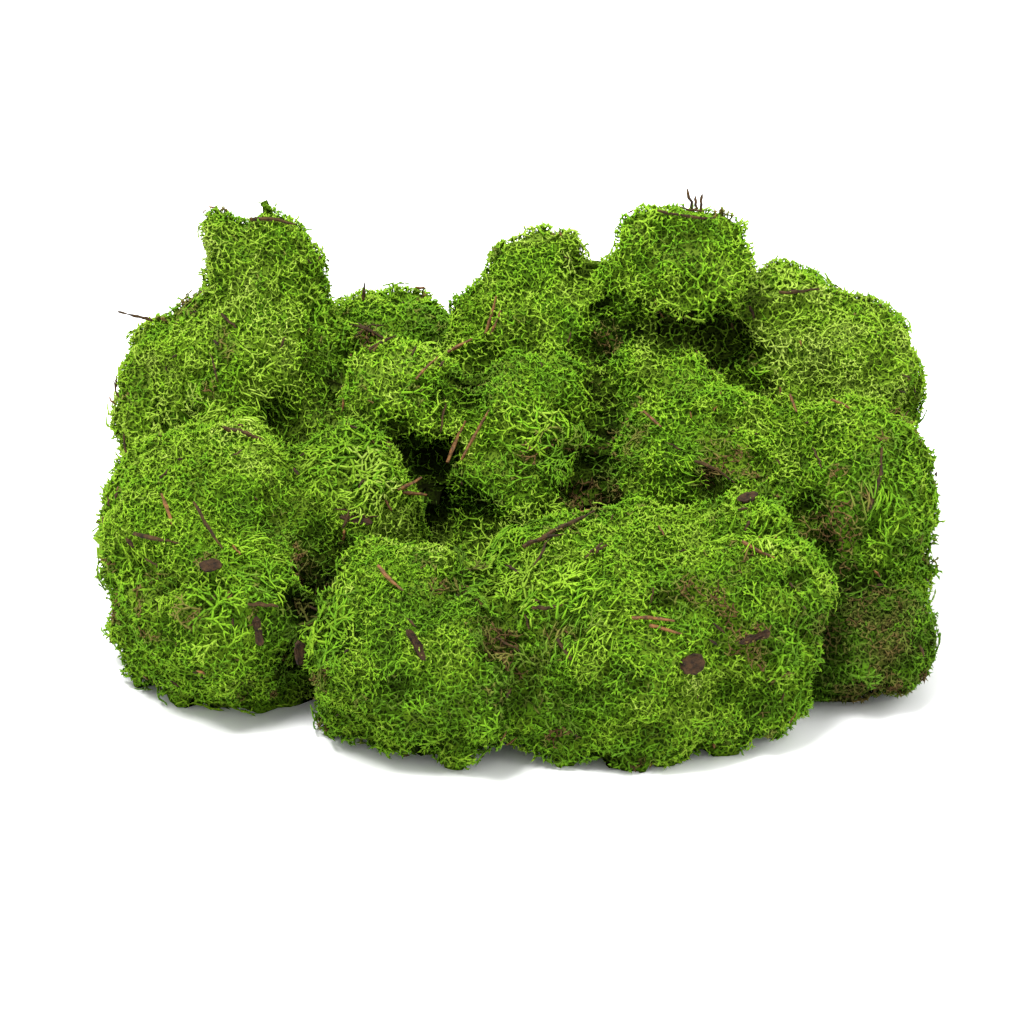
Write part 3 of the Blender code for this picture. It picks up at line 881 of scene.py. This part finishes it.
def core(name, skin, owner, fissure, core_painted_light, index, seen):
    """The dark surface under one tuft's share of the skin, and its share of the flat cut, painted
    darker as shade where it sees little of the outside.
    """
    flat = skin.points[:, 2] < UNDERSIDE
    mine = skin.faces[(owner[skin.faces[:, 0]] == index) & ~flat[skin.faces].all(1)]
    used = np.unique(mine)
    renumber = np.full(len(skin.points), -1)
    renumber[used] = np.arange(len(used))
    faces = renumber[mine]
    sunk = CORE_DEPTH * (1 - 0.15 * fissure[used])
    points = skin.points[used] - skin.normals[used] * sunk[:, None]
    points[flat[used], 2] = GROUND / 2
    there = {tuple(edge) for edge in edges_of(faces)}
    ground = {i for i, low in enumerate(flat[used]) if low}
    rim = [(a, b) for a, b in there if (b, a) not in there and a in ground and b in ground]
    middle = len(points)
    floor = np.array([(b, a, middle) for a, b in sorted(rim)]).reshape(-1, 3)
    points = np.vstack([points, (0, 0, GROUND / 2)])
    # Painted shade: darker where the core sees little of the outside, and where the skin stands low
    # or lies in a fissure.
    depth = np.append(np.clip(seen[used] / 0.5, 0, 1) * core_painted_light[used], 0)
    hue = TUFT_LOOKS[name][0] + 0.5 * (noise(points, 9 * MM, SEED + 7) - 0.5)
    branches = Branches()
    branches.surface(points, np.concatenate([faces, floor]), depth, np.clip(hue, 0.05, 0.95))
    return branches.mesh(name + "_core")


# ---- materials


def ramp(nodes, stops):
    made = nodes.new("ShaderNodeValToRGB")
    elements = made.color_ramp.elements
    for element, (place, colour) in zip(elements, (stops[0], stops[-1])):
        element.position = place
        element.color = (*colour, 1)
    for place, colour in stops[1:-1]:
        element = elements.new(place)
        element.color = (*colour, 1)
    return made


def greys(nodes, stops):
    return ramp(nodes, [(place, (grey, grey, grey)) for place, grey in stops])


def noise_texture(nodes, wires, place, scale, detail):
    made = nodes.new("ShaderNodeTexNoise")
    made.inputs["Scale"].default_value = scale
    made.inputs["Detail"].default_value = detail
    wires.new(place.outputs["Object"], made.inputs["Vector"])
    return made


def mix(nodes, wires, factor, a, b):
    made = nodes.new("ShaderNodeMix")
    made.data_type = "RGBA"
    wires.new(factor, made.inputs["Factor"])
    wires.new(a, made.inputs["A"])
    wires.new(b, made.inputs["B"])
    return made.outputs["Result"]


def new_material(name):
    made = bpy.data.materials.new(name)
    made.use_nodes = True
    tree = made.node_tree
    return made, tree.nodes, tree.links, tree.nodes["Principled BSDF"]


def hue_colours(nodes, wires, hue):
    """The colours of the branch tips and of their roots, by hue; the roots' near-black is painted
    shade.
    """
    tips = ramp(nodes, [
        (0.0, (0.10, 0.055, 0.022)),
        (0.16, (0.16, 0.12, 0.035)),
        (0.30, (0.15, 0.18, 0.030)),
        (0.44, (0.105, 0.245, 0.014)),
        (0.56, (0.15, 0.34, 0.013)),
        (0.68, (0.22, 0.395, 0.02)),
        (0.82, (0.275, 0.43, 0.04)),
        (1.0, (0.37, 0.49, 0.085)),
    ])
    roots = ramp(nodes, [
        (0.0, (0.016, 0.010, 0.004)),
        (0.4, (0.014, 0.026, 0.003)),
        (1.0, (0.03, 0.068, 0.005)),
    ])
    wires.new(hue, tips.inputs[0])
    wires.new(hue, roots.inputs[0])
    return tips.outputs[0], roots.outputs[0]


def shade_nodes(nodes, wires):
    """How near the tip a place is, and its hue, from the mesh."""
    shade = nodes.new("ShaderNodeAttribute")
    shade.attribute_name = "shade"
    split = nodes.new("ShaderNodeSeparateXYZ")
    wires.new(shade.outputs["Vector"], split.inputs[0])
    return split.outputs["X"], split.outputs["Y"]


def dull(shader, gloss):
    shader.inputs["Roughness"].default_value = 0.8
    shader.inputs["Specular IOR Level"].default_value = gloss


def moss_material():
    """Tip colours by hue and near-black root colours by hue, mixed by how near the tip a place is:
    painted shade, darker down in the lace.
    """
    made, nodes, wires, shader = new_material("moss")
    depth, hue = shade_nodes(nodes, wires)
    tips, roots = hue_colours(nodes, wires, hue)
    nearness = greys(nodes, [(0.0, 0.0), (0.45, 0.34), (0.8, 0.84), (1.0, 1.0)])
    wires.new(depth, nearness.inputs[0])
    colour = mix(nodes, wires, nearness.outputs[0], roots, tips)
    wires.new(colour, shader.inputs["Base Color"])
    dull(shader, 0.04)
    return made


def core_material():
    """The tangle below the lace: a fine net of dim strands over near-black holes, which are painted
    shade.
    """
    made, nodes, wires, shader = new_material("moss_core")
    depth, hue = shade_nodes(nodes, wires)
    tips, roots = hue_colours(nodes, wires, hue)
    place = nodes.new("ShaderNodeTexCoord")
    wander = noise_texture(nodes, wires, place, 420.0, 2.0)
    shift = nodes.new("ShaderNodeVectorMath")
    shift.operation = "MULTIPLY_ADD"
    shift.inputs[1].default_value = (0.0016, 0.0016, 0.0016)
    wires.new(wander.outputs["Color"], shift.inputs[0])
    wires.new(place.outputs["Object"], shift.inputs[2])
    net = nodes.new("ShaderNodeTexVoronoi")
    net.feature = "DISTANCE_TO_EDGE"
    net.inputs["Scale"].default_value = 620.0
    wires.new(shift.outputs[0], net.inputs["Vector"])
    strand = greys(nodes, [(0.0, 0.55), (0.08, 0.40), (0.22, 0.0), (1.0, 0.0)])
    wires.new(net.outputs["Distance"], strand.inputs[0])
    lit = nodes.new("ShaderNodeMath")
    lit.operation = "MULTIPLY"
    wires.new(strand.outputs[0], lit.inputs[0])
    wires.new(depth, lit.inputs[1])
    # Painted shade: the near-black of the holes.
    black = ramp(nodes, [(0.0, (0.002, 0.003, 0.001)), (1.0, (0.003, 0.003, 0.001))])
    wires.new(hue, black.inputs[0])
    ground = mix(nodes, wires, depth, black.outputs[0], roots)
    colour = mix(nodes, wires, lit.outputs[0], ground, tips)
    wires.new(colour, shader.inputs["Base Color"])
    dull(shader, 0.0)
    return made


def wood_material(name, dark, light, roughness):
    """Dry needle, twig or bark: uneven blotches and a fine rough grain."""
    made, nodes, wires, shader = new_material(name)
    place = nodes.new("ShaderNodeTexCoord")
    blotches = noise_texture(nodes, wires, place, 420.0, 4.0)
    blotches.inputs["Roughness"].default_value = 0.7
    colours = ramp(nodes, [(0.36, dark), (0.66, light)])
    wires.new(blotches.outputs[0], colours.inputs[0])
    wires.new(colours.outputs[0], shader.inputs["Base Color"])
    grain = noise_texture(nodes, wires, place, 1600.0, 2.0)
    bump = nodes.new("ShaderNodeBump")
    bump.inputs["Strength"].default_value = 0.8
    bump.inputs["Distance"].default_value = 0.3 * MM
    wires.new(grain.outputs[0], bump.inputs["Height"])
    wires.new(bump.outputs[0], shader.inputs["Normal"])
    shader.inputs["Roughness"].default_value = roughness
    shader.inputs["Specular IOR Level"].default_value = 0.2
    return made


# ---- the pieces


def slot_of(node):
    for row in frame["record"]["subparts"]:
        if row["node"] == node:
            return row["material_slot"]
    return None


def add_piece(mesh, material, slot, node=None):
    """Adds a piece, which stands for a CAD node if one is named."""
    piece = add_object(mesh.name, mesh)
    mesh.materials.append(material)
    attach(piece, "root")
    if node:
        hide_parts(node)


def make_tufts():
    """Makes the lace and the core of every tuft, and returns the skin that they grow on."""
    names = sorted(n for n in frame["nodes"] if n.startswith("tuft"))
    draw = np.random.default_rng(SEED)
    skin, owner, stands, fissure, litter = make_skin(names)
    tree = skin.tree()
    seen = openness(skin.points, skin.normals, tree)
    growth = Growth(skin, tree, owner, stands, fissure, litter, seen, names, draw)
    # Painted shade of the core: darker where the skin stands low and in fissures.
    core_painted_light = (0.4 + 0.6 * stands) * (1 - 0.9 * fissure)
    lace_look, core_look = moss_material(), core_material()
    for index, name in enumerate(names):
        branches = Branches()
        growth.over(branches, index)
        add_piece(branches.mesh(name + "_lace", BAKE_MAP), lace_look, slot_of(name), name)
        heart = core(name, skin, owner, fissure, core_painted_light, index, seen)
        add_piece(heart, core_look, slot_of(name), name)
    return skin, seen


def worn(node, swell):
    """The mesh of a CAD piece of litter with an uneven outline and a crumbled surface."""
    shape = bmesh.new()
    shape.from_mesh(node.data)
    bmesh.ops.remove_doubles(shape, verts=shape.verts, dist=WELD)
    bmesh.ops.subdivide_edges(shape, edges=shape.edges, cuts=2, use_grid_fill=True)
    shape.normal_update()
    points = np.array([vert.co for vert in shape.verts])
    away = swell * (noise(points, WEAR_SIZE, SEED + 20) - 0.55)
    away += CRUMBLE_HEIGHT * (noise(points, CRUMBLE_SIZE, SEED + 21) - 0.5)
    for vert, distance in zip(shape.verts, away):
        vert.co += vert.normal * distance
    return mesh_of(shape, node.name + "_worn")


def stick(shape, start, end, width, flatness, draw):
    """Adds a crooked, uneven stick to shape, thinner at both ends."""
    length = np.linalg.norm(end - start)
    along = (end - start) / length
    side = np.cross(along, (0.3, -0.5, 0.8))
    side /= np.linalg.norm(side)
    up = np.cross(side, along) * flatness
    last = None
    for ring in range(STICK_RINGS):
        share = ring / (STICK_RINGS - 1)
        middle = start + along * length * share
        middle += (side * draw.normal() + up * draw.normal()) * STICK_CROOK * length
        radius = width / 2 * (0.5 + 0.5 * math.sin(math.pi * share)) * draw.uniform(0.75, 1.2)
        corners = []
        for corner in range(STICK_SIDES):
            turn = 2 * math.pi * corner / STICK_SIDES
            out = side * math.cos(turn) + up * math.sin(turn)
            corners.append(shape.verts.new(middle + out * radius * draw.uniform(0.8, 1.2)))
        if last is None:
            shape.faces.new(corners[::-1])
        else:
            for corner in range(STICK_SIDES):
                after = (corner + 1) % STICK_SIDES
                shape.faces.new((last[corner], last[after], corners[after], corners[corner]))
        last = corners
    shape.faces.new(last)


def placed_litter(tree):
    """What, both ends and the thickness of each stick of the small litter that has a place."""
    _, up = picture_axes()
    for kind, x0, y0, x1, y1, width in SMALL_LITTER:
        start, end = on_skin(tree, x0, y0), on_skin(tree, x1, y1)
        if start is None:
            continue
        across = np.array(((x1 - x0) * MM, 0, 0)) + up * (y1 - y0) * MM
        if end is None or np.linalg.norm(end - start) > 2 * np.linalg.norm(across):
            end = start + across
        yield kind, start, end, width * MM


def strewn_litter(skin, tree, seen, draw):
    """The same for crumbs that lie anywhere on the skin."""
    open_places = np.nonzero((seen > 0.15) & (skin.points[:, 2] > CRUMB_LOWEST))[0]
    chosen = draw.choice(open_places, CRUMBS, replace=False)
    for place in chosen:
        normal = skin.normals[place]
        along = unit(np.cross(normal, random_directions(1, draw)))[0]
        length = CRUMB_LENGTH * draw.uniform(0.35, 1.3)
        start = skin.points[place]
        end, over, _, _ = tree.find_nearest(start + along * length)
        rise = draw.uniform(0.0, CRUMB_RISE) * MM
        kind = draw.choice(list(CRUMB_SHARES), p=list(CRUMB_SHARES.values()))
        yield kind, start + normal * rise, np.array(end + over * rise), draw.uniform(0.6, 1.2) * MM


def make_litter(skin, seen):
    """Worn pieces for the litter's nodes, and three joined pieces for the small litter."""
    looks = {
        "needle": wood_material("needle", (0.035, 0.016, 0.005), (0.18, 0.082, 0.022), 0.6),
        "twig": wood_material("twig", (0.010, 0.006, 0.002), (0.060, 0.032, 0.009), 0.85),
        "bark": wood_material("bark", (0.007, 0.004, 0.002), (0.045, 0.022, 0.008), 0.9),
    }
    for name, node in frame["nodes"].items():
        slot = slot_of(name)
        if slot in looks:
            add_piece(worn(node, WEAR_HEIGHTS[slot]), looks[slot], slot, name)
    draw = np.random.default_rng([SEED, 2])
    shapes = {kind: bmesh.new() for kind in looks}
    tree = skin.tree()
    for rows in (placed_litter(tree), strewn_litter(skin, tree, seen, draw)):
        for kind, start, end, width in rows:
            stick(shapes[kind], start, end, width, 0.5 if kind == "bark" else 1.0, draw)
    for kind, shape in shapes.items():
        mesh = mesh_of(shape, "small_" + kind)
        mesh.shade_smooth()
        add_piece(mesh, looks[kind], kind)


# ---- camera, light and floor


def make_camera():
    data = bpy.data.cameras.new("camera")
    data.lens = LENS
    data.sensor_width = SENSOR
    data.clip_end = 20.0
    camera = add_object("camera", data)
    ahead, _ = picture_axes()
    camera.location = AIM - Vector(ahead) * CAMERA_DISTANCE
    camera.rotation_euler = (math.pi / 2 - CAMERA_LEAN, 0, 0)
    bpy.context.scene.camera = camera


def area_light(name, place, size, power):
    data = bpy.data.lights.new(name, "AREA")
    data.size = size
    data.energy = power
    light = add_object(name, data)
    light.location = place
    light.rotation_euler = (LIT_PLACE - Vector(place)).to_track_quat("-Z", "Y").to_euler()


def make_studio():
    shape = bmesh.new()
    bmesh.ops.create_grid(shape, x_segments=1, y_segments=1, size=FLOOR_SIZE)
    floor = add_object("floor", mesh_of(shape, "floor"))
    paper, _, _, shader = new_material("floor_paper")
    shader.inputs["Base Color"].default_value = (0.9, 0.9, 0.9, 1)
    shader.inputs["Roughness"].default_value = 0.9
    floor.data.materials.append(paper)
    for name, (place, size, power) in LIGHTS.items():
        area_light(name, place, size, power)
    world = bpy.data.worlds.new("studio")
    world.use_nodes = True
    background = world.node_tree.nodes["Background"]
    background.inputs["Color"].default_value = (1, 1, 1, 1)
    background.inputs["Strength"].default_value = WORLD_LIGHT
    bpy.context.scene.world = world
    bpy.context.scene.view_settings.view_transform = "Standard"


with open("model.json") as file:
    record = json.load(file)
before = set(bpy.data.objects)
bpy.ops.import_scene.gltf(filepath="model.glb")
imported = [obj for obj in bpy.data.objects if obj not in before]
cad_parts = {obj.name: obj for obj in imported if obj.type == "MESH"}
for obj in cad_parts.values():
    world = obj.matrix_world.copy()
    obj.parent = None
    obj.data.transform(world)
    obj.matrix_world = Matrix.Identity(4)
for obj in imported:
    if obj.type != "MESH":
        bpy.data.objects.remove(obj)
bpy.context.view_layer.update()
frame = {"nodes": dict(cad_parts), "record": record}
make_camera()
make_studio()
make_litter(*make_tufts())
